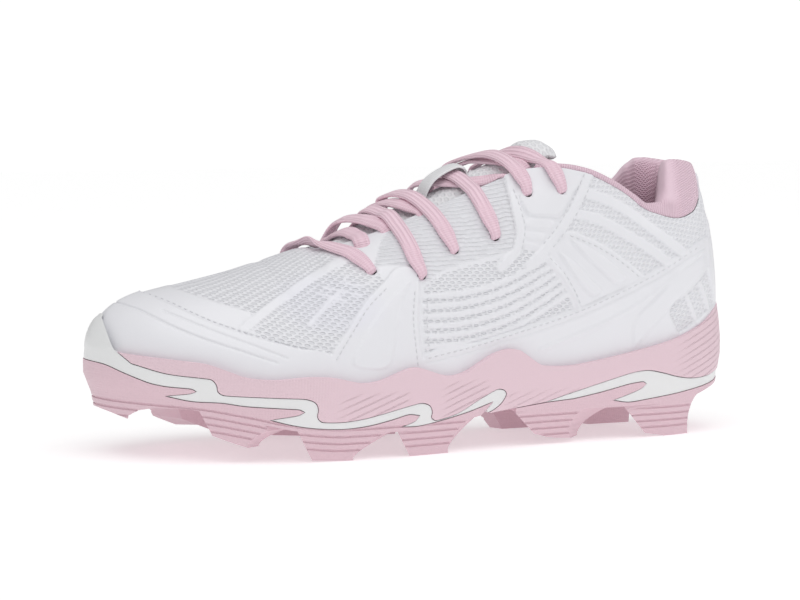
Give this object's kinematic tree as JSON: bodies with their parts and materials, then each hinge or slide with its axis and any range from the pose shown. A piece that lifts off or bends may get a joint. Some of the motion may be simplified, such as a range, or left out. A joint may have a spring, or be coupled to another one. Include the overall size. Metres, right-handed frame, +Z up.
{
  "type": "softball cleat",
  "caption": "Low-cut left softball cleat: hollow laced upper with padded collar and tongue, wavy cupped midsole, stepped side bands and a split outsole with moulded studs.",
  "frame": {"origin": "on the floor under the middle of the shoe's box", "axes": "+X towards the toe, +Y to the wearer's left, the outer side of this left shoe, +Z up"},
  "size_m": [0.28, 0.0973, 0.1252],
  "materials": {
    "upper_mesh": "white engineered mesh",
    "overlay": "smooth white synthetic",
    "tongue_mesh": "white open mesh",
    "lining": "pink knit",
    "midsole_foam": "matt pink foam",
    "side_band": "satin white plastic",
    "outsole": "matt pink moulded compound",
    "lace": "pink flat braid"
  },
  "bodies": {
    "root": {"upper": "upper_mesh", "toe_cap": "overlay", "saddle_outer": "overlay", "saddle_inner": "overlay", "eyestay_outer": "overlay", "eyestay_inner": "overlay", "counter_outer": "overlay", "counter_inner": "overlay", "back_stay": "overlay", "tongue": "tongue_mesh", "tongue_loop": "overlay", "collar": "lining", "insole": "lining", "midsole": "midsole_foam", "band_fore": "side_band", "band_heel": "side_band", "outsole_fore": "outsole", "outsole_heel": "outsole", "lace_bar_1": "lace", "lace_cross_2": "lace", "lace_cross_3": "lace", "lace_cross_4": "lace", "lace_cross_5": "lace", "lace_bar_6": "lace"}
  },
  "joints": []
}
